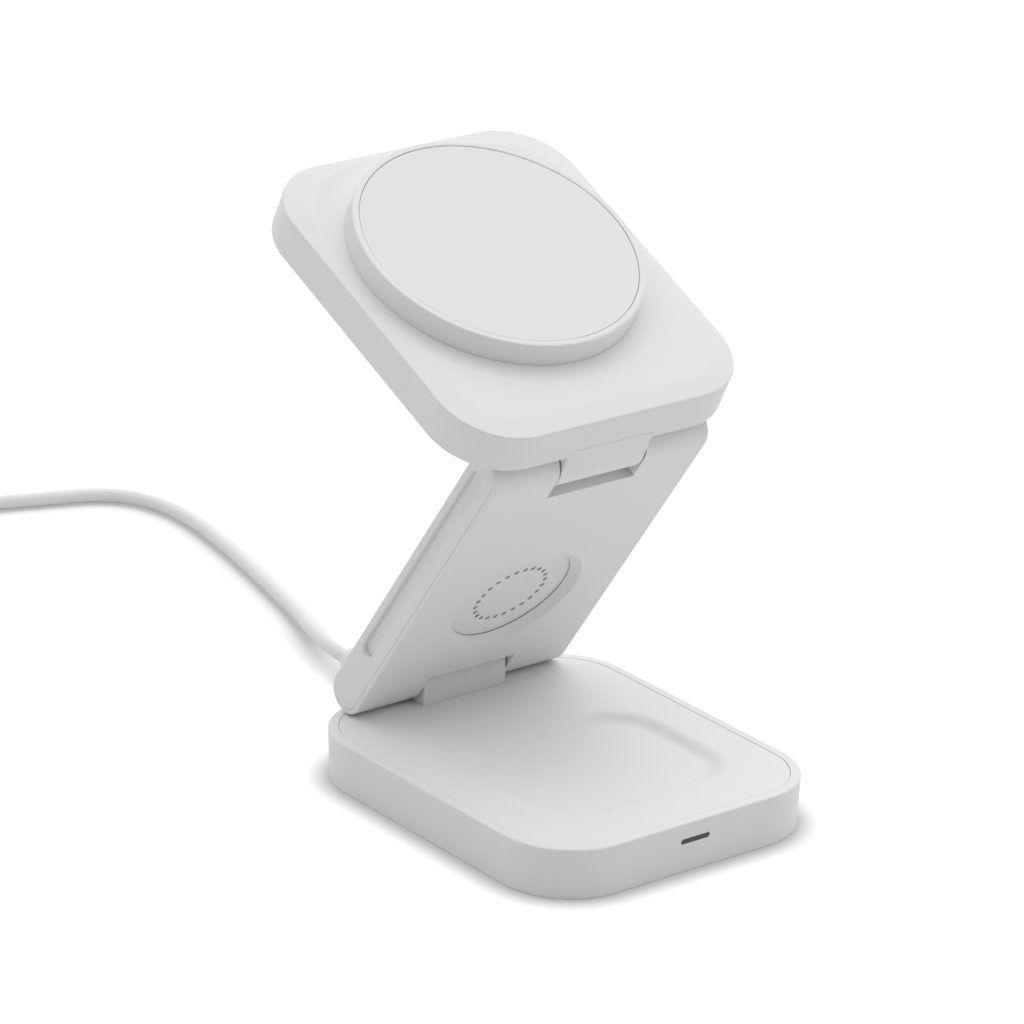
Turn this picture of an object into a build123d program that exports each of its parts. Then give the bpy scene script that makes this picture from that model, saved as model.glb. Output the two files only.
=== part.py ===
from build123d import *
from math import pi, radians, tan
import os

# Folding wireless charger on a flat base, in millimetres.
# The origin is the middle of the footprint on the floor. Front is -Y, rear is +Y.
# A friction hinge at the rear of the base carries an arm, and a second one carries the phone pad.

# Pose
arm_lift = 55.2  # degrees from folded flat on the base
pad_lift = 24.7  # degrees that the phone pad leans back from level

# Base
base_width = 68.0
base_depth = 80.0
base_height = 10.5
base_corner = 15.3
base_draft = 0.4  # the walls lean in by this much at the bottom
base_rim = 2.0  # wall seen around the top plate
base_ledge = 1.0  # step inside the rim that the top plate sits on
base_floor = 1.6
base_top_edge = 0.35
base_bottom_edge = 0.35
plate_thickness = 1.6
plate_edge = 0.15
foot_stands = 0.2  # the foot lifts the shell this far off the floor
foot_sunk = 0.5
foot_inset = 4.0

# Earbud recess in the top plate
recess_width = 46.5
recess_depth = 37.0
recess_corner = 11.0
recess_sunk = 1.2
recess_slope = 2.6  # width of the sloping wall all round
recess_behind_front = 13.0  # front edge of the base to the recess
recess_wall = 1.4
recess_soft = 4.0  # rounding along both edges of the sloping wall

# Hinges
hinge_rise = 4.9  # lower axis above the top plate
hinge_drop = 5.2  # upper axis below the phone pad
tongue_width = 20.2
base_tongue_radius = 4.6
pad_tongue_radius = 4.4
tongue_edge = 0.35
base_skirt = 2.8  # the lower tongue covers this much of the rear wall
skirt_thickness = 2.0
skirt_corner = 1.5
sleeve_outer = 2.8
pin_radius = 1.8
pin_head_radius = 2.4
pin_head = 1.2
clip_thickness = 0.6
clip_groove = 0.4  # depth of the groove that the clip grips
clip_setback = 0.1
pin_end = 0.6  # pin left beyond the clip

# Arm
arm_length = 69.4  # from hinge axis to hinge axis
arm_width = 51.2
arm_radius = 4.4
arm_edge = 0.45
arm_front_wall = 1.75
notch_reach = 0.7  # open space past the tongue in each notch
cap_inset = 1.03  # front face and round ends of the arm to the cap
cap_thickness = 1.8
cap_ledge = 0.8
cap_cavity = 3.0
cap_groove_radius = 1.6
cap_groove_sunk = 1.0
cap_groove_soft = 0.25
cap_groove_shift = 1.1  # the groove lies nearer to the rear face
cap_groove_start = 13.0  # lower hinge axis to the groove's lower centre
cap_groove_end = 1.2  # upper hinge axis to the groove's upper centre

# Watch flap
flap_width = 37.0
flap_corner = 6.0
flap_start = 9.8  # lower hinge axis to the flap's pocket
flap_end = 9.8  # upper hinge axis to the flap's pocket
flap_wall = 1.5
flap_face = 1.4
flap_cover = 1.6
pocket_edge = 0.7
window_radius = 13.0
window_bevel = 1.7  # width of the slope round the window
window_bevel_depth = 1.5
window_soft = 0.2
window_from_hinge = 27.3
vent_ring_radius = 7.75
vent_radius = 0.58
vent_count = 24
watch_dish_radius = 15.5
watch_dish_sunk = 0.9
flap_pin_radius = 1.0
flap_pin_seat = 1.2
flap_pin_setback = 3.4
flap_pin_raise = 1.0

# Phone pad
pad_width = 67.4
pad_depth = 77.8
pad_thickness = 8.8
pad_corner = 13.9
pad_rim = 2.0
pad_ledge = 1.0
pad_top_wall = 1.4
pad_bottom_edge = 0.4
pad_top_edge = 0.35
pad_apron = 4.5  # width of the gentle slope along the top edge
pad_apron_drop = 0.5
pad_apron_soft = 12.0
cover_thickness = 1.6
pad_dish_radius = 35.2
pad_dish_sunk = 0.55
puck_from_front = 44.4
puck_radius = 29.0
puck_height = 4.4  # above the top of the pad
puck_rim = 1.4
puck_floor = 0.9
puck_face_thickness = 1.4
puck_face_sunk = 0.12
puck_edge = 0.4
puck_seam_edge = 0.2
wire_hole_radius = 3.0

# Coils, magnets, boards and weight
coil_inner = 10.5
coil_outer = 21.5
coil_thickness = 1.6
ferrite_radius = 22.2
ferrite_thickness = 0.9
magnet_inner = 22.8
magnet_outer = 26.8
magnet_count = 16
magnet_gap = 0.8
bud_coil_inner = 5.5
bud_coil_outer = 12.5
bud_coil_thickness = 1.0
bud_ferrite_radius = 13.5
bud_ferrite_thickness = 0.8
watch_coil_inner = 5.8
watch_coil_outer = 11.5
watch_coil_thickness = 1.4
watch_ferrite_radius = 12.2
watch_ferrite_thickness = 0.7
watch_magnet_radius = 4.5
board_thickness = 1.0
post_gap = 0.5  # main board to the screw posts beside it
board_depth = 27.0
board_corner = 5.0
board_raise = 0.3
board_seat_radius = 2.0
board_seat_inset = 4.0
pad_board_width = 30.0
pad_board_depth = 22.0
ballast_gap = 1.0  # weight to the screw posts beside it
ballast_depth = 36.0
ballast_thickness = 2.5
ballast_corner = 2.5
ballast_from_front = 6.0
screw_radius = 0.95
screw_head_radius = 1.9
screw_head = 0.9
head_cover = 0.4  # screw head below the foot's recess
screw_bite = 5.0
boss_radius = 2.5
screw_seat = 1.2  # raised ring round each screw inside the shell
screw_side_inset = 7.8
screw_front_inset = 10.0
screw_rear_inset = 14.0

# Socket, light and lead
socket_width = 8.94
socket_height = 3.26
socket_length = 7.3
socket_wall = 0.3
socket_setback = 0.9
socket_tongue_width = 6.7
socket_tongue_thickness = 0.7
socket_tongue_length = 4.8
socket_back = 1.2
nose_width = 8.24
nose_height = 2.4
nose_length = 6.2
nose_slot_width = 7.2
nose_slot_height = 1.1
light_width = 7.0
light_height = 1.1
light_level = 6.72
light_setback = 0.35
light_flange = 0.7
light_flange_thickness = 0.8
light_board_width = 11.0
light_board_thickness = 1.0
plug_width = 11.0  # at its widest
plug_height = 6.2
plug_length = 20.0
plug_widest = 7.0  # from the socket end to the widest place
plug_mouth_width = 9.8
plug_mouth_height = 5.2
plug_tail_width = 6.6
plug_tail_height = 5.2
plug_corner_share = 0.45  # corner radius as a share of the height
plug_edge = 0.6
plug_swell = 0.06  # the smooth side rises this far past its widest outline
plug_gap = 0.4  # between the plug and the rear wall
relief_length = 8.0
relief_start = 2.4
relief_end = 2.1
collar_radius = 2.5
collar_length = 2.2
collar_edge = 0.4
cord_radius = 1.5
arc_share = 0.45  # part of the shorter run that an arc may use
coil_centre = (-48.4, 106.0)  # from the end of the plug's relief
coil_mean_radius = 18.0
coil_rows = 3
tail_length = 16.0
tie_angle = 250.0
tie_arc = 14.0
tie_thickness = 0.5

# Clearances
fit = 0.12  # moulded pieces that go into one another
seam = 0.06  # line seen between two casing pieces
slip = 0.02  # pieces that are pressed or glued together
run = 0.05  # turning fit of a pin in its sleeve
side_play = 0.3  # between a tongue and the notch around it
bay_play = 0.35  # round the watch flap in its pocket


def rounded(width, depth, corner, bottom, top):
    """Block with rounded upright corners between two heights."""
    return Pos(0, 0, bottom) * extrude(RectangleRounded(width, depth, corner), top - bottom)


def drafted(bottom_size, top_size, bottom, top):
    """Block whose rounded outline changes evenly between two heights."""
    lower = Pos(0, 0, bottom) * RectangleRounded(*bottom_size)
    upper = Pos(0, 0, top) * RectangleRounded(*top_size)
    return loft([lower, upper])


def disc(radius, bottom, top):
    """Round plate between two heights."""
    return Pos(0, 0, bottom) * extrude(Circle(radius), top - bottom)


def ring(outer, inner, bottom, top):
    """Flat ring between two heights."""
    return disc(outer, bottom, top) - disc(inner, bottom, top)


def rod(radius, start, end):
    """Round bar along X."""
    return Plane.YZ.offset(start) * extrude(Circle(radius), end - start)


def slot_bar(width, height, start, end):
    """Flat-oval bar along Y."""
    section = Plane.XZ * SlotOverall(width, height)
    return Pos(0, end, 0) * extrude(section, end - start)


def stadium(radius, start, end):
    """Side outline of the arm, round about both hinge axes, between two places along X."""
    outline = Plane.YZ.offset(start) * Pos(-arm_length / 2, 0) * SlotCenterToCenter(arm_length, 2 * radius)
    return extrude(outline, end - start)


def skirt(width, height, thickness, corner):
    """Plate below Z = 0 whose outer face is at Y = 0, with two rounded lower corners."""
    plate = Pos(0, -thickness / 2, -height / 2) * Box(width, thickness, height)
    return fillet(plate.edges().filter_by(Axis.Y).group_by(Axis.Z)[0], corner)


def tongue(radius, rise, root, skirt_height):
    """Hinge tongue about the X axis: round top, flat faces down to its root and a skirt on its +Y side."""
    inner = 2 * radius - skirt_thickness
    section = Circle(radius) + Pos(0, -rise / 2) * Rectangle(2 * radius, rise)
    body = extrude(Plane.YZ * section, tongue_width / 2, both=True)
    sides = body.faces().sort_by(Axis.X)
    seen_edges = (sides[0].edges() + sides[-1].edges()).filter_by(lambda e: e.center().Z > tongue_edge - rise)
    body = fillet(seen_edges, tongue_edge)
    body += Pos(0, -skirt_thickness / 2, -rise - root / 2) * Box(tongue_width, inner, root)
    body += Pos(0, radius, -rise) * skirt(tongue_width, skirt_height, skirt_thickness, skirt_corner)
    return body - rod(sleeve_outer + slip, -tongue_width, tongue_width)


def skirt_notch(height):
    """Room for a skirt in the wall that it covers, open to the outside."""
    past = 1.0
    plate = skirt(tongue_width + 2 * seam, height + seam, skirt_thickness + seam + past, skirt_corner + seam)
    return Pos(0, past, 0) * plate


# Places on the base
foot_top = foot_stands + foot_sunk
floor_top = foot_stands + base_floor
plate_top = base_height
plate_bottom = base_height - plate_thickness
recess_bottom = plate_top - recess_sunk
recess_place = Pos(0, recess_behind_front + recess_depth / 2 - base_depth / 2, 0)
bud_coil_bottom = recess_bottom - recess_wall - bud_coil_thickness
screw_head_top = foot_top + screw_head + head_cover
screw_tip = screw_head_top + screw_bite
post_inside = base_width / 2 - screw_side_inset - boss_radius
board_width = 2 * (post_inside - post_gap)
ballast_width = 2 * (post_inside - ballast_gap)
board_bottom = floor_top + board_raise
board_middle = base_depth / 2 - base_rim - base_ledge - side_play - board_depth / 2
socket_level = board_bottom + board_thickness + socket_height / 2
light_board_front = base_rim + base_ledge + light_flange_thickness - base_depth / 2
lower_axis = Pos(0, base_depth / 2 - base_tongue_radius, base_height + hinge_rise)

# Places on the arm
arm_place = lower_axis * Rot(-arm_lift, 0, 0)
cheek_side = arm_width / 2 - cap_thickness - cap_cavity
bay_length = arm_length - flap_start - flap_end
bay_middle = -flap_start - bay_length / 2
bay_floor = arm_front_wall - arm_radius
flap_front = bay_floor + fit
window_place = Pos(0, -window_from_hinge, 0)
flap_pin_place = Pos(0, flap_end - arm_length + bay_play + flap_pin_setback, flap_pin_raise)
watch_coil_bottom = arm_radius - flap_cover - watch_coil_thickness

# Places on the phone pad
pad_place = arm_place * Pos(0, -arm_length, 0) * Rot(arm_lift + pad_lift, 0, 0)
pad_bottom = hinge_drop
pad_top = hinge_drop + pad_thickness
cover_top = pad_bottom + cover_thickness
dish_bottom = pad_top - pad_dish_sunk
pad_middle = Pos(0, pad_depth / 2 - pad_tongue_radius, 0)
puck_place = Pos(0, puck_from_front - pad_tongue_radius, 0)
puck_top = pad_top + puck_height
puck_floor_top = dish_bottom + puck_floor

# Places along the lead
plug_place = Pos(0, base_depth / 2 + plug_gap, socket_level)
cord_place = Pos(0, base_depth / 2 + plug_gap + plug_length + relief_length, 0)
tail_side = coil_centre[0] - coil_mean_radius - 2 * cord_radius
tail_level = plug_height / 2 + plug_swell
tail_start = (tail_side, coil_centre[1], tail_level)
tail_end = (tail_side, coil_centre[1] - tail_length, tail_level)
far_plug_place = cord_place * Pos(tail_end[0], tail_end[1] - plug_length - relief_length, tail_end[2])
route = [
    (0, 0, socket_level),
    (0, 5.6, socket_level),
    (2.7, 13.9, 4.0),
    (6.4, 22.6, 2.6),
    (10.0, 31.8, 1.7),
    (13.2, 44.2, 1.6),
    (16.4, 57.1, 1.6),
    (19.2, 70.1, 1.6),
    (21.3, 82.7, 1.6),
    (21.7, 93.2, 1.6),
    (19.1, 102.5, 1.6),
    (13.2, 108.8, 1.6),
    (4.1, 112.1, 1.6),
    (-7.6, 116.5, 1.6),
    (-19.9, 120.6, 1.6),
    (-31.9, 124.0, 1.7),
    (-43.7, 126.5, 2.1),
]


# Base


def screw_places():
    """The four screws under the foot."""
    side = base_width / 2 - screw_side_inset
    ends = (screw_front_inset - base_depth / 2, base_depth / 2 - screw_rear_inset)
    return [Pos(x, y, 0) for x in (-side, side) for y in ends]


def inset_outline(inset):
    """Width, depth and corner of the base's outline, moved in all round."""
    return base_width - 2 * inset, base_depth - 2 * inset, base_corner - inset


def make_base_shell():
    body = drafted(inset_outline(base_draft), inset_outline(0), foot_stands, base_height)
    body = fillet(body.edges().group_by(Axis.Z)[0], base_bottom_edge)
    body = fillet(body.edges().group_by(Axis.Z)[-1], base_top_edge)
    body -= rounded(*inset_outline(base_rim), plate_bottom, base_height)
    body -= rounded(*inset_outline(base_rim + base_ledge), floor_top, plate_bottom)
    body -= rounded(*inset_outline(foot_inset), foot_stands, foot_top)
    body -= Pos(0, base_depth / 2, base_height) * skirt_notch(base_skirt)
    wall_inside = base_depth / 2 - base_rim - base_ledge
    body -= Pos(0, 0, light_level) * slot_bar(light_width, light_height, -base_depth / 2, -wall_inside)
    opening = Pos(0, 0, socket_level) * slot_bar(
        socket_width + 2 * side_play, socket_height + 2 * side_play, wall_inside, base_depth / 2
    )
    body -= opening
    for place in board_corners():
        body += place * disc(board_seat_radius, floor_top, board_bottom)
    for place in screw_places():
        body += place * disc(boss_radius, floor_top, floor_top + screw_seat)
        body -= place * disc(screw_head_radius + fit, foot_top, screw_head_top)
        body -= place * disc(screw_radius + fit, screw_head_top, floor_top + screw_seat)
    return body


def make_base_top_plate():
    plate = rounded(*inset_outline(base_rim + seam), plate_bottom, plate_top)
    plate = fillet(plate.edges().group_by(Axis.Z)[-1], plate_edge)
    under = (recess_width + 2 * recess_wall, recess_depth + 2 * recess_wall, recess_corner + recess_wall)
    plate += recess_place * rounded(*under, recess_bottom - recess_wall, plate_bottom)
    foot = (recess_width - 2 * recess_slope, recess_depth - 2 * recess_slope, recess_corner - recess_slope)
    mouth = (recess_width, recess_depth, recess_corner)
    plate -= recess_place * drafted(foot, mouth, recess_bottom, plate_top)
    plate = fillet(plate.faces().sort_by(Axis.Z)[-1].inner_wires()[0].edges(), recess_soft)
    floor_edges = plate.edges().filter_by_position(Axis.Z, recess_bottom - slip, recess_bottom + slip)
    plate = fillet(floor_edges, recess_soft)
    plate += lower_axis * tongue(base_tongue_radius, hinge_rise, plate_thickness, base_skirt)
    for place in screw_places():
        plate += place * disc(boss_radius, floor_top + screw_seat + fit, plate_bottom)
        plate -= place * disc(screw_radius + slip, floor_top + screw_seat, screw_tip + fit)
    return plate


def make_base_foot():
    return rounded(*inset_outline(foot_inset + fit), 0, foot_top)


def make_base_screws():
    head = disc(screw_head_radius, screw_head_top - screw_head, screw_head_top)
    screw = head + disc(screw_radius, screw_head_top, screw_tip)
    return Compound(children=[place * screw for place in screw_places()])


def make_ballast():
    middle = ballast_from_front + ballast_depth / 2 - base_depth / 2
    top = floor_top + ballast_thickness
    return Pos(0, middle, 0) * rounded(ballast_width, ballast_depth, ballast_corner, floor_top, top)


def board_corners():
    """Seats of the main board on the shell's floor."""
    side = board_width / 2 - board_seat_inset
    end = board_depth / 2 - board_seat_inset
    return [Pos(x, board_middle + y, 0) for x in (-side, side) for y in (-end, end)]


def make_main_board():
    top = board_bottom + board_thickness
    return Pos(0, board_middle, 0) * rounded(board_width, board_depth, board_corner, board_bottom, top)


def make_earbud_coil():
    return recess_place * ring(bud_coil_outer, bud_coil_inner, bud_coil_bottom, recess_bottom - recess_wall)


def make_earbud_ferrite():
    return recess_place * disc(bud_ferrite_radius, bud_coil_bottom - bud_ferrite_thickness, bud_coil_bottom)


def make_socket():
    mouth = base_depth / 2 - socket_setback
    inner = (socket_width - 2 * socket_wall, socket_height - 2 * socket_wall)
    shell = slot_bar(socket_width, socket_height, mouth - socket_length, mouth)
    shell -= slot_bar(*inner, mouth - socket_length + socket_back, mouth)
    blade_middle = mouth - socket_length + socket_back + socket_tongue_length / 2
    shell += Pos(0, blade_middle, 0) * Box(socket_tongue_width, socket_tongue_length, socket_tongue_thickness)
    return Pos(0, 0, socket_level) * shell


def make_light_pipe():
    front = light_setback - base_depth / 2
    inside = base_rim + base_ledge - base_depth / 2
    pipe = slot_bar(light_width - 2 * fit, light_height - 2 * fit, front, inside)
    grown = (light_width + 2 * light_flange, light_height + 2 * light_flange)
    flange = slot_bar(*grown, inside, light_board_front)
    return Pos(0, 0, light_level) * (pipe + flange)


def make_light_board():
    height = plate_bottom - fit - floor_top
    place = Pos(0, light_board_front + light_board_thickness / 2, floor_top + height / 2)
    return place * Box(light_board_width, light_board_thickness, height)


# Hinges


def make_sleeve():
    half = tongue_width / 2
    return rod(sleeve_outer, -half, half) - rod(pin_radius + run, -half, half)


def make_pin():
    end = cheek_side + clip_setback + clip_thickness + pin_end
    pin = rod(pin_radius, -cheek_side, end) + rod(pin_head_radius, -cheek_side - pin_head, -cheek_side)
    groove = (cheek_side + clip_setback, cheek_side + clip_setback + clip_thickness)
    return pin - rod(pin_radius, *groove) + rod(pin_radius - clip_groove, *groove)


def make_clip():
    groove = (cheek_side + clip_setback, cheek_side + clip_setback + clip_thickness)
    hole = pin_radius - clip_groove + slip
    clip = rod(pin_head_radius, *groove) - rod(hole, *groove)
    mouth = Box(4 * pin_head_radius, 2 * hole, pin_head_radius)
    return clip - Pos(cheek_side, 0, pin_head_radius / 2) * mouth


# Arm, lying forward along -Y from the lower hinge axis, with its front face down


def arm_outside():
    """The whole arm's outer form, caps included."""
    half = arm_width / 2
    body = stadium(arm_radius, -half, half)
    sides = body.faces().sort_by(Axis.X)
    return fillet(sides[0].edges() + sides[-1].edges(), arm_edge)


def cap_form(margin, start, end):
    """Side cap's outline between two places along X, short of the front face and open to the rear."""
    radius = arm_radius - cap_inset - margin
    outline = SlotCenterToCenter(arm_length, 2 * radius)
    outline += Pos(0, arm_radius) * Rectangle(arm_length + 2 * radius, 2 * arm_radius)
    return extrude(Plane.YZ.offset(start) * Pos(-arm_length / 2, 0) * outline, end - start)


def make_arm_housing():
    half = arm_width / 2
    body = arm_outside()
    cap_bottom = half - cap_thickness
    for start, end in ((-half, -cap_bottom), (cap_bottom, half)):
        body -= cap_form(0, start, end)
    for start, end in ((-cap_bottom, -cheek_side), (cheek_side, cap_bottom)):
        body -= stadium(arm_radius - cap_inset - cap_ledge, start, end)
    lower_notch = base_tongue_radius + notch_reach
    upper_notch = pad_tongue_radius + notch_reach
    for near, far in ((arm_radius, -lower_notch), (upper_notch - arm_length, -arm_radius - arm_length)):
        opening = Box(tongue_width + 2 * side_play, near - far, 2 * arm_radius)
        body -= Pos(0, (near + far) / 2, 0) * opening
    for axis in (0, -arm_length):
        body -= Pos(0, axis, 0) * rod(pin_radius + slip, -half, half)
    bay = (flap_width + 2 * bay_play, bay_length, flap_corner + bay_play)
    body -= Pos(0, bay_middle, 0) * rounded(*bay, bay_floor, arm_radius)
    rear_face = body.faces().filter_by(Axis.Z).sort_by(Axis.Z)[-1]
    body = fillet(rear_face.inner_wires()[0].edges(), pocket_edge)
    body -= window_place * disc(window_radius, -arm_radius, bay_floor)
    bevel = Cone(window_radius + window_bevel, window_radius, window_bevel_depth)
    body -= window_place * Pos(0, 0, window_bevel_depth / 2 - arm_radius) * bevel
    front_edges = body.edges().filter_by(GeomType.CIRCLE).filter_by_position(
        Axis.Z, -arm_radius - slip, slip - arm_radius
    )
    body = fillet(front_edges.sort_by(SortBy.LENGTH)[-1], window_soft)
    pin_reach = flap_width / 2 + bay_play + flap_pin_seat
    return body - flap_pin_place * rod(flap_pin_radius + slip, -pin_reach, pin_reach)


def make_side_cap():
    half = arm_width / 2
    cap = arm_outside() & cap_form(seam, half - cap_thickness, half)
    first = -cap_groove_start
    last = cap_groove_end - arm_length
    middle = Pos((first + last) / 2, cap_groove_shift)
    outline = middle * SlotCenterToCenter(first - last, 2 * cap_groove_radius)
    cap -= extrude(Plane.YZ.offset(half - cap_groove_sunk) * outline, cap_groove_sunk)
    groove_edges = cap.faces().sort_by(Axis.X)[-1].inner_wires()[0].edges()
    return fillet(groove_edges, cap_groove_soft)


# Watch flap, stowed in the arm


def make_flap_shell():
    outline = (flap_width, bay_length - 2 * bay_play, flap_corner)
    hollow = (flap_width - 2 * flap_wall, bay_length - 2 * bay_play - 2 * flap_wall, flap_corner - flap_wall)
    top = arm_radius - flap_cover
    shell = Pos(0, bay_middle, 0) * rounded(*outline, flap_front, top)
    shell -= Pos(0, bay_middle, 0) * rounded(*hollow, flap_front + flap_face, top)
    for n in range(vent_count):
        turn = Rot(0, 0, n * 360 / vent_count)
        vent = Pos(vent_ring_radius, 0, 0) * disc(vent_radius, flap_front, flap_front + flap_face)
        shell -= window_place * turn * vent
    return shell - flap_pin_place * rod(flap_pin_radius + run, -flap_width, flap_width)


def make_flap_cover():
    outline = (flap_width, bay_length - 2 * bay_play, flap_corner)
    cover = Pos(0, bay_middle, 0) * rounded(*outline, arm_radius - flap_cover, arm_radius)
    cover = fillet(cover.edges().group_by(Axis.Z)[-1], pocket_edge)
    sphere = (watch_dish_radius**2 + watch_dish_sunk**2) / (2 * watch_dish_sunk)
    return cover - window_place * Pos(0, 0, arm_radius - watch_dish_sunk + sphere) * Sphere(sphere)


def make_watch_coil():
    return window_place * ring(watch_coil_outer, watch_coil_inner, watch_coil_bottom, arm_radius - flap_cover)


def make_watch_ferrite():
    bottom = watch_coil_bottom - watch_ferrite_thickness
    return window_place * disc(watch_ferrite_radius, bottom, watch_coil_bottom)


def make_watch_magnet():
    return window_place * disc(watch_magnet_radius, watch_coil_bottom, arm_radius - flap_cover)


def make_flap_pin():
    reach = flap_width / 2 + bay_play + flap_pin_seat - slip
    return flap_pin_place * rod(flap_pin_radius, -reach, reach)


# Phone pad, level above the upper hinge axis


def pad_outline(inset):
    """Width, depth and corner of the pad's outline, moved in all round."""
    return pad_width - 2 * inset, pad_depth - 2 * inset, pad_corner - inset


def make_pad_shell():
    wall_top = pad_top - pad_apron_drop
    body = rounded(*pad_outline(0), pad_bottom, wall_top)
    body += drafted(pad_outline(0), pad_outline(pad_apron), wall_top, pad_top)
    body = fillet(body.edges().group_by(Axis.Z)[-1], pad_apron_soft)
    body = fillet(body.edges().filter_by_position(Axis.Z, wall_top - slip, wall_top + slip), pad_top_edge)
    body = fillet(body.edges().group_by(Axis.Z)[0], pad_bottom_edge)
    body -= rounded(*pad_outline(pad_rim), pad_bottom, cover_top)
    body -= rounded(*pad_outline(pad_rim + pad_ledge), cover_top, dish_bottom - pad_top_wall)
    body = pad_middle * body
    slope_start = puck_radius + seam
    slope_width = pad_dish_radius - slope_start
    slope_radius = (slope_width**2 + pad_dish_sunk**2) / (2 * pad_dish_sunk)
    rise = 2 * pad_dish_sunk  # the slope runs on past the top of the pad
    slope_end = (slope_start + (rise * (2 * slope_radius - rise)) ** 0.5, dish_bottom + rise)
    bottom_line = Line((0, dish_bottom), (slope_start, dish_bottom))
    slope = TangentArc((slope_start, dish_bottom), slope_end, tangent=(1, 0))
    rest = Polyline(slope_end, (0, dish_bottom + rise), (0, dish_bottom))
    dish = revolve(Plane.XZ * make_face([bottom_line, slope, rest]), Axis.Z)
    body -= puck_place * dish
    body -= puck_place * disc(wire_hole_radius, dish_bottom - pad_top_wall, dish_bottom)
    return body - Rot(180, 0, 0) * Pos(0, pad_tongue_radius, -hinge_drop) * skirt_notch(cover_thickness)


def make_pad_bottom_cover():
    plate = pad_middle * rounded(*pad_outline(pad_rim + seam), pad_bottom, cover_top)
    return plate + Rot(180, 0, 0) * tongue(pad_tongue_radius, hinge_drop, cover_thickness, cover_thickness)


def make_puck_ring():
    body = disc(puck_radius, dish_bottom, puck_top)
    body -= disc(puck_radius - puck_rim, puck_floor_top, puck_top)
    body -= disc(wire_hole_radius, dish_bottom, puck_floor_top)
    outside = body.edges().group_by(Axis.Z)[-1].sort_by(SortBy.LENGTH)[-1]
    body = fillet(outside, puck_edge)
    inside = body.edges().group_by(Axis.Z)[-1].sort_by(SortBy.LENGTH)[0]
    return puck_place * fillet(inside, puck_seam_edge)


def make_puck_face():
    top = puck_top - puck_face_sunk
    face = disc(puck_radius - puck_rim - seam, top - puck_face_thickness, top)
    return puck_place * fillet(face.edges().group_by(Axis.Z)[-1], puck_seam_edge)


def make_phone_ferrite():
    return puck_place * disc(ferrite_radius, puck_floor_top, puck_floor_top + ferrite_thickness)


def make_phone_coil():
    bottom = puck_floor_top + ferrite_thickness
    return puck_place * ring(coil_outer, coil_inner, bottom, bottom + coil_thickness)


def make_magnets():
    top = puck_floor_top + ferrite_thickness + coil_thickness
    magnets = ring(magnet_outer, magnet_inner, puck_floor_top, top)
    width = magnet_outer - magnet_inner
    middle = Pos((magnet_outer + magnet_inner) / 2, 0, (puck_floor_top + top) / 2)
    cut = middle * Box(2 * width, magnet_gap, 2 * (top - puck_floor_top))
    for n in range(magnet_count):
        magnets -= Rot(0, 0, n * 360 / magnet_count) * cut
    return puck_place * magnets


def make_pad_board():
    board = Box(pad_board_width, pad_board_depth, board_thickness)
    return puck_place * Pos(0, 0, cover_top + board_thickness / 2) * board


# Lead


def make_plug_nose():
    """Metal nose of a plug that points along -Y, with the moulded body starting at Y = 0."""
    nose = slot_bar(nose_width, nose_height, -nose_length, 0)
    return nose - slot_bar(nose_slot_width, nose_slot_height, -nose_length, -nose_length / 4)


def plug_section(width, height, along):
    """Rounded outline across the plug at a place along it."""
    outline = Plane.XZ * RectangleRounded(width, height, plug_corner_share * height)
    return Pos(0, along, 0) * outline


def make_plug_body():
    mouth = plug_section(plug_mouth_width, plug_mouth_height, 0)
    widest = plug_section(plug_width, plug_height, plug_widest)
    tail = plug_section(plug_tail_width, plug_tail_height, plug_length)
    body = loft([mouth, widest, tail])
    ends = body.faces().sort_by(Axis.Y)
    return fillet(ends[0].edges() + ends[-1].edges(), plug_edge)


def make_plug_relief():
    """Round sleeve on the cord behind a plug, with a collar where the cord leaves it."""
    end = plug_length + relief_length
    cone = Cone(relief_start, relief_end, relief_length, rotation=(-90, 0, 0))
    collar = Cylinder(collar_radius, collar_length, rotation=(-90, 0, 0))
    collar = fillet(collar.edges().filter_by(GeomType.CIRCLE), collar_edge)
    return Pos(0, end - relief_length / 2, 0) * cone + Pos(0, end - collar_length / 2, 0) * collar


def cord_radii(points):
    """Largest arc that each corner of a route has room for."""
    radii = []
    for before, here, after in zip(points, points[1:], points[2:]):
        arriving = Vector(here) - Vector(before)
        leaving = Vector(after) - Vector(here)
        shorter = min(arriving.length, leaving.length)
        radii.append(arc_share * shorter / tan(radians(arriving.get_angle(leaving)) / 2))
    return radii


def cord_tube(points):
    """Round cord along straight runs joined by arcs."""
    radii = cord_radii(points)
    path = FilletPolyline(*points, radius=radii) if radii else Line(*points)
    section = Plane(path @ 0, z_dir=path % 0) * Circle(cord_radius)
    tube = sweep(section, path=path)
    print("cord run", round(path.length, 1), "radii", [round(r, 1) for r in radii])
    print("cord volume share", round(tube.volume / (pi * cord_radius**2 * path.length), 4))
    return tube


def coil_section(margin):
    """Upright section of the coil, grown by a margin."""
    thick = coil_rows * 2 * cord_radius + 2 * fit
    outline = RectangleRounded(thick + 2 * margin, thick + 2 * margin, cord_radius + margin)
    return Plane.XZ * Pos(coil_mean_radius, tie_thickness + thick / 2) * outline


def make_cord_coil():
    return Pos(*coil_centre, 0) * revolve(coil_section(0), Axis.Z)


def make_cord_tie():
    band = coil_section(tie_thickness) - coil_section(slip)
    return Pos(*coil_centre, 0) * Rot(0, 0, tie_angle) * revolve(band, Axis.Z, tie_arc)


def on(place, solids):
    """Put a set of named solids in place."""
    return {name: place * solid for name, solid in solids.items()}


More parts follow.
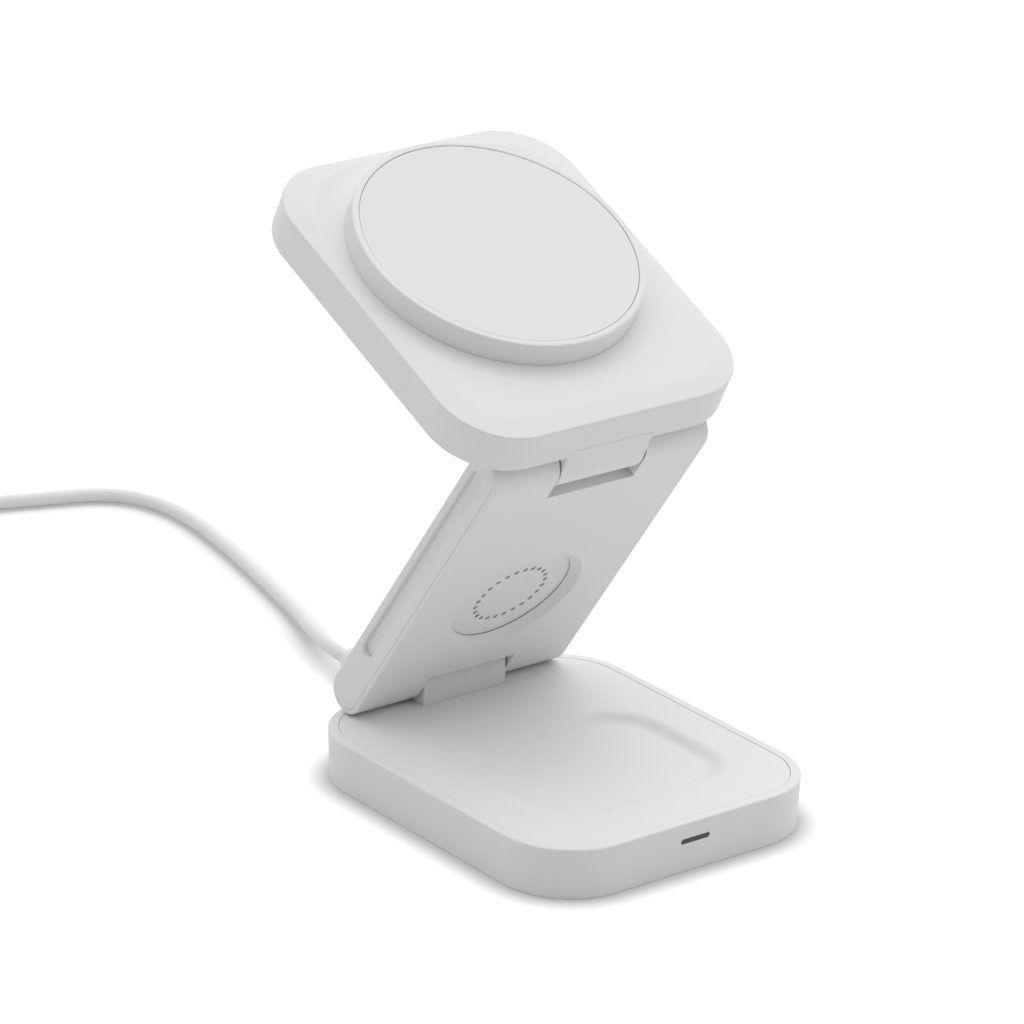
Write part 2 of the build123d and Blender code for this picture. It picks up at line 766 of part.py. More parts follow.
base_nodes = {
    "base_shell": make_base_shell(),
    "base_top_plate": make_base_top_plate(),
    "base_foot": make_base_foot(),
    "base_screws": make_base_screws(),
    "base_ballast": make_ballast(),
    "main_board": make_main_board(),
    "earbud_coil": make_earbud_coil(),
    "earbud_ferrite": make_earbud_ferrite(),
    "charging_socket": make_socket(),
    "light_pipe": make_light_pipe(),
    "light_board": make_light_board(),
    "lower_hinge_sleeve": lower_axis * make_sleeve(),
}
arm_nodes = {
    "arm_housing": make_arm_housing(),
    "arm_cap_right": make_side_cap(),
    "arm_cap_left": mirror(make_side_cap(), about=Plane.YZ),
    "lower_hinge_pin": make_pin(),
    "upper_hinge_pin": Pos(0, -arm_length, 0) * make_pin(),
    "hinge_clips": Compound(children=[make_clip(), Pos(0, -arm_length, 0) * make_clip()]),
    "watch_flap_shell": make_flap_shell(),
    "watch_flap_cover": make_flap_cover(),
    "watch_flap_pin": make_flap_pin(),
    "watch_coil": make_watch_coil(),
    "watch_ferrite": make_watch_ferrite(),
    "watch_magnet": make_watch_magnet(),
}
pad_nodes = {
    "pad_shell": make_pad_shell(),
    "pad_bottom_cover": make_pad_bottom_cover(),
    "pad_board": make_pad_board(),
    "puck_ring": make_puck_ring(),
    "puck_face": make_puck_face(),
    "phone_coil": make_phone_coil(),
    "phone_ferrite": make_phone_ferrite(),
    "phone_magnets": make_magnets(),
    "upper_hinge_sleeve": make_sleeve(),
}
cord_nodes = {
    "cord_lead": cord_tube(route),
    "cord_coil": make_cord_coil(),
    "cord_tie": make_cord_tie(),
    "cord_tail": cord_tube([tail_start, tail_end]),
}
plug_nodes = {
    "plug_nose": make_plug_nose(),
    "plug_body": make_plug_body(),
    "plug_relief": make_plug_relief(),
}
far_plug_nodes = {f"far_{name}": solid for name, solid in plug_nodes.items()}

nodes = dict(base_nodes)
nodes |= on(arm_place, arm_nodes)
nodes |= on(pad_place, pad_nodes)
nodes |= on(cord_place, cord_nodes)
nodes |= on(plug_place, plug_nodes)
nodes |= on(far_plug_place, far_plug_nodes)

os.makedirs("parts", exist_ok=True)
for name, solid in nodes.items():
    export_step(solid, f"parts/{name}.step")
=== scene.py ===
"""Looks of a folding wireless charger: soft white plastic, a coiled lead and a plain studio."""

import math

import bpy
from mathutils import Matrix, Vector


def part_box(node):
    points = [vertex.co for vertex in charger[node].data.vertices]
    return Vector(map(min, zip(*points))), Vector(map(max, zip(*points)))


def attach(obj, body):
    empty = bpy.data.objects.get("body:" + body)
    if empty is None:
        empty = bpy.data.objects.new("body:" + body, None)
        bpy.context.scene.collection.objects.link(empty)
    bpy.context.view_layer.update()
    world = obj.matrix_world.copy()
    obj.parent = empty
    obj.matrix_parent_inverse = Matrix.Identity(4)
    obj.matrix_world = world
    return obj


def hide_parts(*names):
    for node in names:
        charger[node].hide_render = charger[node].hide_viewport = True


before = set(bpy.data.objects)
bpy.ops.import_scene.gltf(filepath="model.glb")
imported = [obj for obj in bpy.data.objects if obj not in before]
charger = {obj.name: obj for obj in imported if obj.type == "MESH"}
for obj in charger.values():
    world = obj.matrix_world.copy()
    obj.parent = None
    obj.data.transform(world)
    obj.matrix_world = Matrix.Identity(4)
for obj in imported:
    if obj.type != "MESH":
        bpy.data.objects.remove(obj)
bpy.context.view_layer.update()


# Camera


CAMERA_AZIMUTH = math.radians(38.84)  # from the front, round to the left
CAMERA_ELEVATION = math.radians(21.58)
CAMERA_ROLL = math.radians(1.98)
CAMERA_TARGET = (-0.01935, -0.00593, 0.06526)
CAMERA_DISTANCE = 1.05673
FOCAL_PIXELS = 5705.92
PHOTO_PIXELS = 1024
SENSOR_WIDTH = 36  # millimetres


def set_camera():
    """Place the camera by where it stands round the charger, with the small roll of the photograph."""
    back = Vector(
        (
            -math.sin(CAMERA_AZIMUTH) * math.cos(CAMERA_ELEVATION),
            -math.cos(CAMERA_AZIMUTH) * math.cos(CAMERA_ELEVATION),
            math.sin(CAMERA_ELEVATION),
        )
    )
    level = Vector((0, 0, 1)).cross(back).normalized()
    upright = back.cross(level)
    right = level * math.cos(CAMERA_ROLL) + upright * math.sin(CAMERA_ROLL)
    up = upright * math.cos(CAMERA_ROLL) - level * math.sin(CAMERA_ROLL)
    lens = bpy.data.cameras.new("studio_camera")
    lens.sensor_width = SENSOR_WIDTH
    lens.lens = SENSOR_WIDTH * FOCAL_PIXELS / PHOTO_PIXELS
    lens.clip_start = 0.05
    lens.clip_end = 20
    camera = bpy.data.objects.new("studio_camera", lens)
    place = Matrix((right, up, back)).transposed().to_4x4()
    place.translation = Vector(CAMERA_TARGET) + back * CAMERA_DISTANCE
    camera.matrix_world = place
    bpy.context.scene.collection.objects.link(camera)
    bpy.context.scene.camera = camera


# Node helpers


class Signal:
    """An output in a node tree. Arithmetic on it adds Math nodes."""

    def __init__(self, network, socket):
        self.network = network
        self.socket = socket

    def __add__(self, other):
        return self.network.maths("ADD", self, other)

    def __sub__(self, other):
        return self.network.maths("SUBTRACT", self, other)

    def __rsub__(self, other):
        return self.network.maths("SUBTRACT", other, self)

    def __mul__(self, other):
        return self.network.maths("MULTIPLY", self, other)

    def __truediv__(self, other):
        return self.network.maths("DIVIDE", self, other)

    __radd__ = __add__
    __rmul__ = __mul__


class Network:
    """A node tree, and the one way in which nodes are added to it."""

    def __init__(self, tree):
        self.tree = tree
        tree.nodes.clear()

    def node(self, kind, settings=None, inputs=None, output=0):
        """Add a node, set it up, fill its inputs and give one of its outputs."""
        node = self.tree.nodes.new(kind)
        for key, value in (settings or {}).items():
            setattr(node, key, value)
        for key, value in (inputs or {}).items():
            if isinstance(value, Signal):
                self.tree.links.new(value.socket, node.inputs[key])
            else:
                node.inputs[key].default_value = value
        return Signal(self, node.outputs[output]) if len(node.outputs) else None

    def maths(self, operation, first, second):
        """Add one Math node."""
        return self.node("ShaderNodeMath", {"operation": operation}, {0: first, 1: second})

    def between(self, value, low, high):
        """Rise smoothly from 0 to 1 as a value goes from low to high."""
        settings = {"interpolation_type": "SMOOTHSTEP"}
        return self.node("ShaderNodeMapRange", settings, {"Value": value, "From Min": low, "From Max": high})

    def plain_view(self):
        """1 for rays that meet the plain white background, 0 for rays that carry light to the charger."""
        rays = ("Is Camera Ray", "Is Glossy Ray", "Is Transmission Ray")
        seen, mirrored, through = (self.node("ShaderNodeLightPath", output=ray) for ray in rays)
        return self.node("ShaderNodeClamp", {}, {"Value": seen + mirrored + through})


class Finish(Network):
    """A material built from nodes."""

    def __init__(self, name):
        self.material = bpy.data.materials.new(name)
        self.material.use_nodes = True
        super().__init__(self.material.node_tree)

    def place(self):
        """Coordinates on the piece, in metres."""
        return self.node("ShaderNodeTexCoord", output="Object")

    def noise(self, where, grain, detail=2.0, roughness=0.5):
        """Noise whose blobs are about one grain across, in metres."""
        inputs = {"Vector": where, "Scale": 1 / grain, "Detail": detail, "Roughness": roughness}
        return self.node("ShaderNodeTexNoise", {}, inputs)

    def blend(self, share, first, second):
        """Mix two colours."""
        return self.node("ShaderNodeMix", {"data_type": "RGBA"}, {0: share, 6: first, 7: second}, output=2)

    def openness(self, reach, samples):
        """1 on open surfaces, falling towards 0 where other surfaces close in within the reach."""
        return self.node("ShaderNodeAmbientOcclusion", {"samples": samples}, {"Distance": reach}, "AO")

    def bump(self, height, depth):
        """Normals from a height that runs from 0 to 1, with its depth in metres."""
        return self.node("ShaderNodeBump", {}, {"Height": height, "Strength": 1.0, "Distance": depth})

    def surface(self, inputs):
        """Close the tree with one principled surface."""
        shader = self.node("ShaderNodeBsdfPrincipled", {}, inputs)
        self.node("ShaderNodeOutputMaterial", {}, {"Surface": shader})
        return self.material


class Former(Network):
    """A Geometry Nodes tree that forms pieces from named sizes and a finish."""

    def __init__(self, name, sizes):
        super().__init__(bpy.data.node_groups.new(name, "GeometryNodeTree"))
        kinds = {int: "NodeSocketInt", float: "NodeSocketFloat", bpy.types.Material: "NodeSocketMaterial"}
        sockets = self.tree.interface
        sockets.new_socket("Piece", in_out="OUTPUT", socket_type="NodeSocketGeometry")
        self.keys = {}
        for size, kind in {**sizes, "Finish": bpy.types.Material}.items():
            self.keys[size] = sockets.new_socket(size, in_out="INPUT", socket_type=kinds[kind]).identifier
        self.given = self.tree.nodes.new("NodeGroupInput")

    def size(self, name):
        """One of the tree's named inputs."""
        return Signal(self, self.given.outputs[name])

    def spread(self, piece, count, axis, pitch):
        """Copies of a piece along an axis, centred on the origin."""
        first = self.node("ShaderNodeCombineXYZ", {}, {axis: (1 - count) * pitch * 0.5})
        step = self.node("ShaderNodeCombineXYZ", {}, {axis: pitch})
        inputs = {"Count": count, "Start Location": first, "Offset": step}
        line = self.node("GeometryNodeMeshLine", {"mode": "OFFSET"}, inputs)
        return self.node("GeometryNodeInstanceOnPoints", {}, {"Points": line, "Instance": piece})

    def close(self, shape):
        """Make the shape's copies real, give them the finish and end the tree."""
        whole = self.node("GeometryNodeRealizeInstances", {}, {"Geometry": shape})
        inputs = {"Geometry": whole, "Material": self.size("Finish")}
        finished = self.node("GeometryNodeSetMaterial", {}, inputs)
        self.node("NodeGroupOutput", {}, {"Piece": finished})
        return self

    def form(self, name, place, sizes):
        """Run the tree with one set of sizes and give the result as a plain mesh, set in its place."""
        piece = bpy.data.objects.new(name, bpy.data.meshes.new(name))
        bpy.context.scene.collection.objects.link(piece)
        modifier = piece.modifiers.new(name, "NODES")
        modifier.node_group = self.tree
        for size, value in sizes.items():
            modifier[self.keys[size]] = value
        evaluated = piece.evaluated_get(bpy.context.evaluated_depsgraph_get())
        mesh = bpy.data.meshes.new_from_object(evaluated)
        mesh.transform(place)
        piece.modifiers.remove(modifier)
        piece.data = mesh
        return piece


GREEN_LOSS = 0.4  # share of the warmth that is taken from green


def grey(level, warmth=0.0):
    """Colour from a light level, pulled a little towards yellow."""
    return (level, level * (1 - GREEN_LOSS * warmth), level * (1 - warmth), 1.0)


# Finishes


# Painted shade: the plastic's colour darkens where other surfaces close in, in seams and crevices.
PAINTED_SHADE_REACH = 0.0008
PAINTED_SHADE_SAMPLES = 8
PAINTED_SHADE_TONE = 0.35  # share of the plastic's own level that is left where the painted shade in seams and crevices is deepest


def moulded_white(name, level, roughness, grain, depth):
    """Satin moulded plastic with a fine spark-eroded skin, and painted shade that darkens its seams and
    crevices.
    """
    finish = Finish(name)
    where = finish.place()
    cloud = finish.noise(where, grain=0.03, detail=3.0)
    skin = finish.noise(where, grain=grain, detail=2.0)
    speck = finish.between(finish.noise(where, grain=2.2 * grain, detail=0.0), low=0.66, high=0.8)
    tone = finish.blend(cloud, grey(level * 0.988), grey(level * 1.008))
    specked = finish.blend(speck * 0.05, tone, grey(level * 0.8))
    # painted shade: darker where nearby surfaces close in within the reach
    painted_seam_shade = finish.between(1 - finish.openness(PAINTED_SHADE_REACH, PAINTED_SHADE_SAMPLES), low=0.3, high=0.95)
    colour = finish.blend(painted_seam_shade, specked, grey(level * PAINTED_SHADE_TONE))
    return finish.surface(
        {
            "Base Color": colour,
            "Roughness": roughness - 0.05 + cloud * 0.06 + skin * 0.05,
            "Specular IOR Level": 0.42,
            "Normal": finish.bump(skin, depth),
        }
    )


def soft_touch(name, level):
    """Silky coated face: very matt, with a fine even tooth."""
    finish = Finish(name)
    where = finish.place()
    tooth = finish.noise(where, grain=0.00016, detail=1.0)
    wiped = finish.noise(where, grain=0.018, detail=4.0, roughness=0.6)
    colour = finish.blend(wiped, grey(level * 0.988), grey(level * 1.006))
    return finish.surface(
        {
            "Base Color": colour,
            "Roughness": 0.6 + wiped * 0.06,
            "Specular IOR Level": 0.35,
            "Normal": finish.bump(tooth, depth=0.000012),
        }
    )


def cord_jacket(name, level):
    """Smooth jacket of a lead with a faint drawn skin."""
    finish = Finish(name)
    where = finish.place()
    drawn = finish.noise(where, grain=0.0011, detail=3.0)
    cloud = finish.noise(where, grain=0.014, detail=2.0)
    colour = finish.blend(cloud, grey(level * 0.985), grey(level * 1.01))
    return finish.surface(
        {
            "Base Color": colour,
            "Roughness": 0.44 + drawn * 0.1,
            "Specular IOR Level": 0.4,
            "Normal": finish.bump(drawn, depth=0.000015),
        }
    )


def grip_rubber(name):
    """Dull grey rubber with a pebbled skin."""
    finish = Finish(name)
    where = finish.place()
    pebble_size = 0.0007
    pebble = finish.node("ShaderNodeTexVoronoi", {}, {"Vector": where, "Scale": 1 / pebble_size}, "Distance")
    dust = finish.noise(where, grain=0.006, detail=4.0)
    colour = finish.blend(dust, grey(0.2), grey(0.26, 0.02))
    return finish.surface(
        {"Base Color": colour, "Roughness": 0.78 + dust * 0.1, "Normal": finish.bump(pebble, depth=0.00006)}
    )


def drawn_metal(name, colour, streak):
    """Metal with fine lines along one axis."""
    finish = Finish(name)
    stretched = finish.node(
        "ShaderNodeMapping", {"vector_type": "POINT"}, {"Vector": finish.place(), "Scale": streak}
    )
    lines = finish.node("ShaderNodeTexNoise", {}, {"Vector": stretched, "Scale": 6000.0, "Detail": 2.0})
    worn = finish.noise(finish.place(), grain=0.004, detail=3.0)
    line_tone = 0.82  # of the metal's own colour, in the lines
    dark = tuple(line_tone * part for part in colour)
    tone = finish.blend(lines, (*dark, 1.0), (*colour, 1.0))
    return finish.surface(
        {
            "Base Color": tone,
            "Metallic": 1.0,
            "Roughness": 0.24 + lines * 0.12 + worn * 0.08,
            "Normal": finish.bump(lines, depth=0.000006),
        }
    )


def enamelled_wire(name):
    """Copper wire under a thin amber enamel."""
    finish = Finish(name)
    where = finish.place()
    tint = finish.noise(where, grain=0.003, detail=2.0)
    flow = finish.noise(where, grain=0.0005, detail=2.0)
    colour = finish.blend(tint, (0.5, 0.19, 0.07, 1), (0.62, 0.27, 0.11, 1))
    return finish.surface(
        {
            "Base Color": colour,
            "Metallic": 0.85,
            "Roughness": 0.26 + flow * 0.12,
            "Normal": finish.bump(flow, depth=0.00001),
        }
    )


def sintered_ferrite(name):
    """Dark pressed powder with a crystalline speckle."""
    finish = Finish(name)
    where = finish.place()
    crystal_size = 0.0004
    grain = finish.node("ShaderNodeTexVoronoi", {}, {"Vector": where, "Scale": 1 / crystal_size}, "Distance")
    cloud = finish.noise(where, grain=0.008)
    colour = finish.blend(cloud, grey(0.02), grey(0.045))
    return finish.surface(
        {"Base Color": colour, "Roughness": 0.5 + grain * 0.2, "Normal": finish.bump(grain, depth=0.00003)}
    )


def circuit_board(name):
    """Green lacquer over a faint pattern of tracks."""
    finish = Finish(name)
    where = finish.place()
    weave = finish.node(
        "ShaderNodeTexBrick",
        {"offset": 0.35},
        {"Vector": where, "Scale": 260.0, "Mortar Size": 0.03, "Brick Width": 0.9, "Row Height": 0.22},
        "Fac",
    )
    cloud = finish.noise(where, grain=0.006)
    lacquer = finish.blend(cloud, (0.008, 0.07, 0.03, 1), (0.012, 0.1, 0.045, 1))
    colour = finish.blend(weave * 0.6, lacquer, (0.03, 0.17, 0.08, 1))
    return finish.surface(
        {"Base Color": colour, "Roughness": 0.26 + cloud * 0.1, "Normal": finish.bump(weave, depth=0.00003)}
    )


def smoked_light(name):
    """Unlit light pipe: smoky, frosted plastic."""
    finish = Finish(name)
    where = finish.place()
    frost = finish.noise(where, grain=0.0002)
    cloud = finish.noise(where, grain=0.002)
    colour = finish.blend(cloud, grey(0.05), grey(0.075))
    return finish.surface(
        {"Base Color": colour, "Roughness": 0.4 + frost * 0.15, "Normal": finish.bump(frost, depth=0.00001)}
    )


def woven_tie(name):
    """Narrow woven band."""
    finish = Finish(name)
    where = finish.place()
    weft_lines = {"Vector": where, "Scale": 520.0}
    weft = finish.node("ShaderNodeTexWave", {"bands_direction": "Z"}, weft_lines, "Fac")
    warp_lines = {"Vector": where, "Scale": 420.0}
    warp = finish.node("ShaderNodeTexWave", {"bands_direction": "X"}, warp_lines, "Fac")
    weave = weft * 0.6 + warp * 0.4
    colour = finish.blend(weave, grey(0.42), grey(0.6, 0.02))
    return finish.surface(
        {"Base Color": colour, "Roughness": 0.75 + weave * 0.12, "Normal": finish.bump(weave, depth=0.00012)}
    )


# Lead


LEAD_START = (0.0, 0.0684)  # where the cord leaves the plug's relief
LEAD_ROUTE = [
    (0.0, 0.0, 0.00473),
    (0.0, 0.0056, 0.00473),
    (0.0027, 0.0139, 0.004),
    (0.0064, 0.0226, 0.0026),
    (0.01, 0.0318, 0.0017),
    (0.0132, 0.0442, 0.0016),
    (0.0164, 0.0571, 0.0016),
    (0.0192, 0.0701, 0.0016),
    (0.0213, 0.0827, 0.0016),
    (0.0217, 0.0932, 0.0016),
    (0.0191, 0.1025, 0.0016),
    (0.0132, 0.1088, 0.0016),
    (0.0041, 0.1121, 0.0016),
    (-0.0076, 0.1165, 0.0016),
    (-0.0199, 0.1206, 0.0016),
    (-0.0319, 0.124, 0.0017),
    (-0.0437, 0.1265, 0.0021),
]
LEAD_DIAMETER = 0.003
COIL_CENTRE = (-0.0484, 0.106)
COIL_TURNS = [
    # radius and height of each turn, in the order in which the lead is wound
    (0.021, 0.00212),
    (0.018, 0.00212),
    (0.015, 0.00212),
    (0.015, 0.00512),
    (0.015, 0.00812),
    (0.018, 0.00812),
    (0.021, 0.00812),
    (0.021, 0.00512),
]
TAIL_ROUTE = [
    (-0.0694, 0.106, 0.00512),
    (-0.0694, 0.1012, 0.0051),
    (-0.0694, 0.0975, 0.0045),
    (-0.0694, 0.0945, 0.0036),
    (-0.0694, 0.092, 0.00316),
    (-0.0694, 0.09, 0.00316),
]


COIL_START = math.radians(77)  # where the lead joins the first turn
POINTS_PER_TURN = 18
DRIFT_FROM = 0.56  # share of a turn that lies before the drift, up to past the tie
CLIMB_ASIDE = 0.0014  # how far a climbing turn swings clear of the others
OUTER_TURNS = 0.02  # radius past which a climbing turn swings outwards
POINT_REACH = 0.75  # sets how far the points lie outside the curve


def wound_turns():
    """Points of the coil: past the tie each turn drifts towards the next one's radius and height."""
    push_out = 1.0 / math.cos(math.pi / POINTS_PER_TURN) ** POINT_REACH  # the curve runs inside its points
    points = []
    last = (math.pi - COIL_START) / (2 * math.pi)  # the final turn stops where the tail leaves
    for n, (radius, height) in enumerate(COIL_TURNS):
        following = COIL_TURNS[min(n + 1, len(COIL_TURNS) - 1)]
        share = last if n == len(COIL_TURNS) - 1 else 1.0
        for step in range(1 if n == 0 else 0, round(POINTS_PER_TURN * share)):
            part = step / POINTS_PER_TURN
            drift = max(0.0, (part - DRIFT_FROM) / (1 - DRIFT_FROM))
            ease = drift * drift * (3 - 2 * drift)
            climb = following[1] - height
            side = 1 if radius > OUTER_TURNS else -1
            aside = CLIMB_ASIDE * math.sin(math.pi * drift) * side if climb else 0.0
            r = (radius + (following[0] - radius) * ease + aside) * push_out
            angle = COIL_START + 2 * math.pi * part
            points.append(
                (
                    COIL_CENTRE[0] + r * math.cos(angle),
                    COIL_CENTRE[1] + r * math.sin(angle),
                    height + climb * ease,
                )
            )
    return points


def make_lead(jacket):
    """One smooth cord from the plug, round the coil, to the far plug."""
    route = LEAD_ROUTE + wound_turns() + TAIL_ROUTE
    curve = bpy.data.curves.new("charging_lead", "CURVE")
    curve.dimensions = "3D"
    curve.bevel_depth = LEAD_DIAMETER / 2
    curve.bevel_resolution = 5
    curve.resolution_u = 6
    curve.use_fill_caps = True
    spline = curve.splines.new("NURBS")
    spline.points.add(len(route) - 1)
    for point, (x, y, z) in zip(spline.points, route):
        point.co = (x + LEAD_START[0], y + LEAD_START[1], z, 1.0)
    spline.order_u = 3
    spline.use_endpoint_u = True
    curve.materials.append(jacket)
    lead = bpy.data.objects.new("charging_lead", curve)
    bpy.context.scene.collection.objects.link(lead)
    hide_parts("cord_lead", "cord_coil", "cord_tail")
    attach(lead, "base")


# Windings and contacts


ARM_TURN = math.radians(-55.2)  # of the arm, as it stands
PAD_TURN = math.radians(24.7)  # of the phone pad, as it stands
COIL_LAYERS = 2
COILS = [
    # node, body, tilt, inner radius, outer radius, thickness
    ("earbud_coil", "base", 0.0, 0.0055, 0.0125, 0.001),
    ("watch_coil", "arm", ARM_TURN, 0.0058, 0.0115, 0.0014),
    ("phone_coil", "pad", PAD_TURN, 0.0105, 0.0215, 0.0016),
]
PLUG_SLOT_HEIGHT = 0.0011
CONTACT_COUNT = 12
CONTACT_PITCH = 0.0005
CONTACT_WIDTH = 0.00026
CONTACT_LENGTH = 0.0036
CONTACT_THICKNESS = 0.00014
CONTACT_SETBACK = 0.0006  # from the mouth of the plug's nose
WIRE_RADIUS = 0.49  # as a share of the pitch, so that neighbouring turns stay apart


def node_middle(name):
    """Middle of a node's box."""
    low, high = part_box(name)
    return tuple((a + b) / 2 for a, b in zip(low, high))


def winding_former():
    """Wire wound in flat spirals about the Z axis, one layer on another."""
    radii = {"Inner Radius": float, "Outer Radius": float}
    former = Former("flat_winding", {**radii, "Wire": float, "Layers": int})
    wire = former.size("Wire")
    first_turn = former.size("Inner Radius") + wire * 0.5
    last_turn = former.size("Outer Radius") - wire * 0.5
    spiral = former.node(
        "GeometryNodeCurveSpiral",
        {},
        {
            "Resolution": 48,
            "Rotations": (last_turn - first_turn) / wire,
            "Start Radius": first_turn,
            "End Radius": last_turn,
            "Height": 0.0,
        },
    )
    round_wire = {"Resolution": 8, "Radius": wire * WIRE_RADIUS}
    section = former.node("GeometryNodeCurvePrimitiveCircle", {}, round_wire)
    layer = former.node(
        "GeometryNodeCurveToMesh", {}, {"Curve": spiral, "Profile Curve": section, "Fill Caps": True}
    )
    return former.close(former.spread(layer, former.size("Layers"), "Z", wire))


def contact_former():
    """Two facing rows of contact strips that lie on the walls of a slot."""
    strip_sizes = {"Width": float, "Length": float, "Thickness": float}
    former = Former("contact_rows", {"Count": int, "Pitch": float, "Slot Height": float, **strip_sizes})
    span = {axis: former.size(size) for axis, size in zip("XYZ", strip_sizes)}
    strip = former.node("GeometryNodeMeshCube", {}, {"Size": former.node("ShaderNodeCombineXYZ", {}, span)})
    row = former.spread(strip, former.size("Count"), "X", former.size("Pitch"))
    facing = former.size("Slot Height") - former.size("Thickness")
    return former.close(former.spread(row, 2, "Z", facing))


def make_windings(wire_finish):
    """Real turns of wire in place of the plain coils."""
    former = winding_former()
    for node, body, turn, inner, outer, thickness in COILS:
        place = Matrix.Translation(node_middle(node)) @ Matrix.Rotation(turn, 4, "X")
        sizes = {"Inner Radius": inner, "Outer Radius": outer, "Wire": thickness / COIL_LAYERS}
        sizes.update({"Layers": COIL_LAYERS, "Finish": wire_finish})
        winding = former.form(node.replace("coil", "winding"), place, sizes)
        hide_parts(node)
        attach(winding, body)


def make_contacts(gold):
    """Contact strips inside the open nose of the far plug."""
    low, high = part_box("far_plug_nose")
    place = Matrix.Translation(
        ((low[0] + high[0]) / 2, low[1] + CONTACT_SETBACK + CONTACT_LENGTH / 2, (low[2] + high[2]) / 2)
    )
    sizes = {"Count": CONTACT_COUNT, "Pitch": CONTACT_PITCH, "Slot Height": PLUG_SLOT_HEIGHT}
    sizes.update({"Width": CONTACT_WIDTH, "Length": CONTACT_LENGTH, "Thickness": CONTACT_THICKNESS})
    sizes["Finish"] = gold
    contacts = contact_former().form("far_plug_contacts", place, sizes)
    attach(contacts, "base")
    return contacts


# Studio


FLOOR_REACH = 4.0
PAPER_WHITE = 0.82  # the floor as it lights the charger
SHADED_GREY = 0.2  # the part of the seen floor that takes real shadows
FLOOR_GLOW = 0.9
SHADOW_REACH = 0.0055  # of the painted shadow line where pieces touch the floor
SHADOW_SAMPLES = 16
SHADOW_POWER = 1.4
SHADOW_DARKEST = 0.42
OVERHEAD_LIGHT = 1.15
OVERHEAD_FROM = 0.5  # height on the dome, from 0 at the horizon to 1 at the top
SIDE_LIGHTS = [
    # axis, its sign, gain with height, level at the horizon
    ("X", 1, 1.35, 0.59),
    ("X", -1, 0.48, 0.16),
    ("Y", 1, 0.77, 0.29),
]


def set_floor():
    """Pale floor that stays white to the camera and keeps a soft shadow: a faint real one, and a painted
    contact shadow where pieces touch it.
    """
    mesh = bpy.data.meshes.new("studio_floor")
    corners = [(FLOOR_REACH * x, FLOOR_REACH * y, 0) for x, y in ((-1, -1), (1, -1), (1, 1), (-1, 1))]
    mesh.from_pydata(corners, [], [(0, 1, 2, 3)])
    floor = bpy.data.objects.new("studio_floor", mesh)
    bpy.context.scene.collection.objects.link(floor)
    finish = Finish("studio_floor")
    paper = finish.node("ShaderNodeBsdfDiffuse", {}, {"Color": grey(PAPER_WHITE)})
    shaded = finish.node("ShaderNodeBsdfDiffuse", {}, {"Color": grey(SHADED_GREY)})
    # painted shadow: the floor's glow is darkened where pieces close in on it
    open_share = finish.openness(SHADOW_REACH, SHADOW_SAMPLES)
    painted_contact_shadow = finish.maths("MAXIMUM", finish.maths("POWER", open_share, SHADOW_POWER), SHADOW_DARKEST)
    glow = finish.node("ShaderNodeEmission", {}, {"Color": grey(1.0), "Strength": painted_contact_shadow * FLOOR_GLOW})
    bright = finish.node("ShaderNodeAddShader", {}, {0: shaded, 1: glow})
    mix = finish.node("ShaderNodeMixShader", {}, {0: finish.plain_view(), 1: paper, 2: bright})
    finish.node("ShaderNodeOutputMaterial", {}, {"Surface": mix})
    mesh.materials.append(finish.material)


def set_sky():
    """Soft studio light from overhead, both sides and behind. The camera sees plain white."""
    world = bpy.data.worlds.new("studio_dome")
    bpy.context.scene.world = world
    world.use_nodes = True
    dome = Network(world.node_tree)
    direction = dome.node("ShaderNodeTexCoord", output="Generated")
    height = dome.node("ShaderNodeSeparateXYZ", {}, {"Vector": direction}, "Z")
    strength = dome.between(height, low=OVERHEAD_FROM, high=1.0) * OVERHEAD_LIGHT
    for axis, sign, gain, level in SIDE_LIGHTS:
        facing = dome.node("ShaderNodeSeparateXYZ", {}, {"Vector": direction}, axis) * sign
        strength = strength + dome.maths("MAXIMUM", facing, 0.0) * (height * gain + level)
    soft = dome.node("ShaderNodeBackground", {}, {"Color": grey(1.0), "Strength": strength})
    white = dome.node("ShaderNodeBackground", {}, {"Color": grey(1.0), "Strength": 1.0})
    mix = dome.node("ShaderNodeMixShader", {}, {0: dome.plain_view(), 1: soft, 2: white})
    dome.node("ShaderNodeOutputWorld", {}, {"Surface": mix})


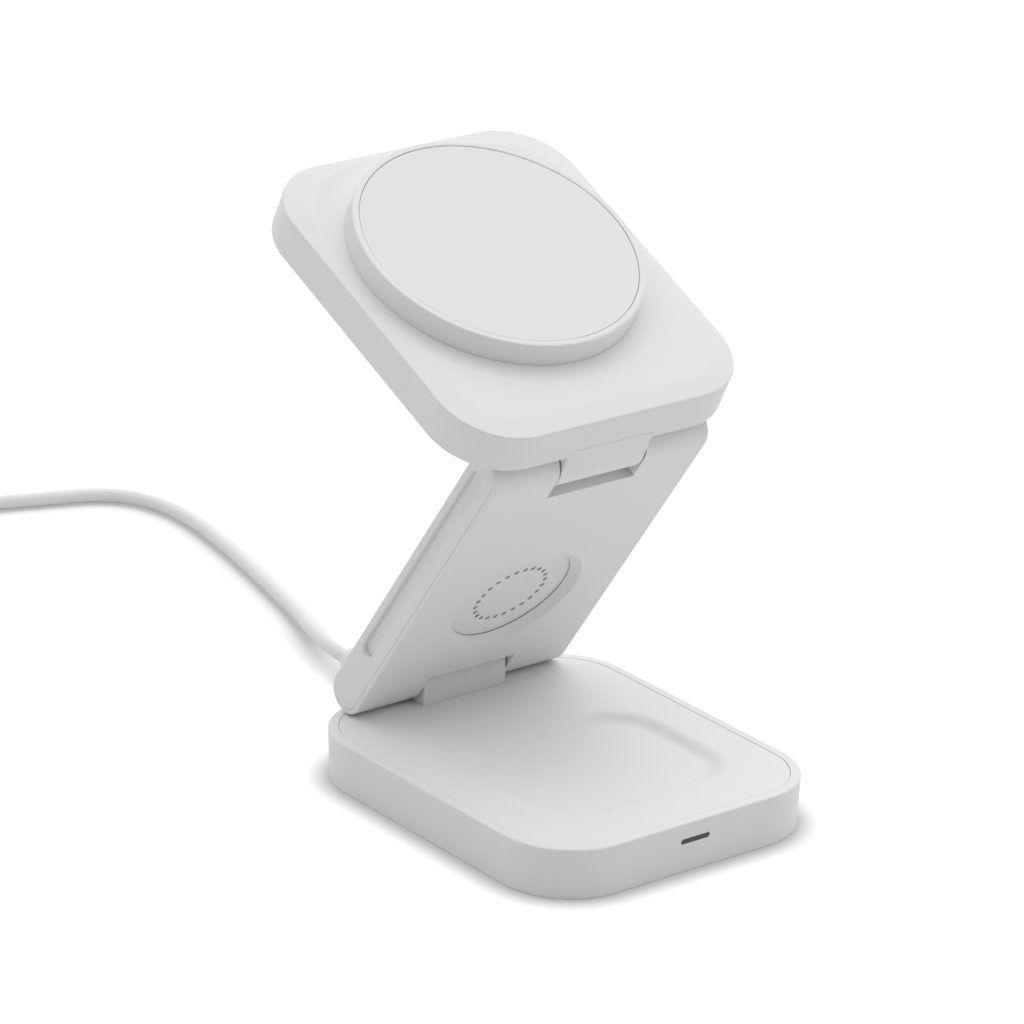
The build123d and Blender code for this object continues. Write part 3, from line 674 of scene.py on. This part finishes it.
def dress(finish, *names):
    """Give the named nodes one finish."""
    for name in names:
        for slot in charger[name].material_slots:
            slot.material = finish


set_camera()
make_windings(enamelled_wire("winding_wire"))
contacts = make_contacts(drawn_metal("contact_gold", colour=(0.83, 0.62, 0.28), streak=(1, 0.05, 1)))
make_lead(cord_jacket("lead_jacket", level=0.82))

shell_white = moulded_white("shell_white", level=0.84, roughness=0.5, grain=0.00022, depth=0.000012)
top_white = moulded_white("top_white", level=0.845, roughness=0.52, grain=0.0002, depth=0.00001)
plug_white = moulded_white("plug_white", level=0.85, roughness=0.42, grain=0.0003, depth=0.000008)
steel = drawn_metal("pin_steel", colour=(0.6, 0.6, 0.61), streak=(0.02, 1, 1))
nickel = drawn_metal("nickel_shell", colour=(0.66, 0.65, 0.63), streak=(1, 0.03, 1))
bronze = drawn_metal("sleeve_bronze", colour=(0.55, 0.38, 0.2), streak=(0.05, 1, 1))
plating = drawn_metal("magnet_plating", colour=(0.68, 0.68, 0.69), streak=(1, 1, 1))
dress(shell_white, "base_shell", "pad_shell", "arm_housing", "arm_cap_left", "arm_cap_right", "puck_ring")
dress(shell_white, "watch_flap_shell")
dress(top_white, "base_top_plate", "pad_bottom_cover", "watch_flap_cover")
dress(soft_touch("puck_soft_touch", level=0.83), "puck_face")
dress(grip_rubber("foot_rubber"), "base_foot")
dress(steel, "base_screws", "base_ballast")
dress(steel, "lower_hinge_pin", "upper_hinge_pin", "hinge_clips", "watch_flap_pin")
dress(nickel, "charging_socket", "plug_nose", "far_plug_nose")
dress(bronze, "lower_hinge_sleeve", "upper_hinge_sleeve")
dress(sintered_ferrite("ferrite"), "earbud_ferrite", "watch_ferrite", "phone_ferrite")
dress(plating, "phone_magnets", "watch_magnet")
dress(circuit_board("board_lacquer"), "main_board", "pad_board", "light_board")
dress(smoked_light("light_smoke"), "light_pipe")
dress(plug_white, "plug_body", "plug_relief", "far_plug_body", "far_plug_relief")
dress(woven_tie("tie_weave"), "cord_tie")

set_floor()
set_sky()
bpy.context.scene.view_settings.view_transform = "Standard"
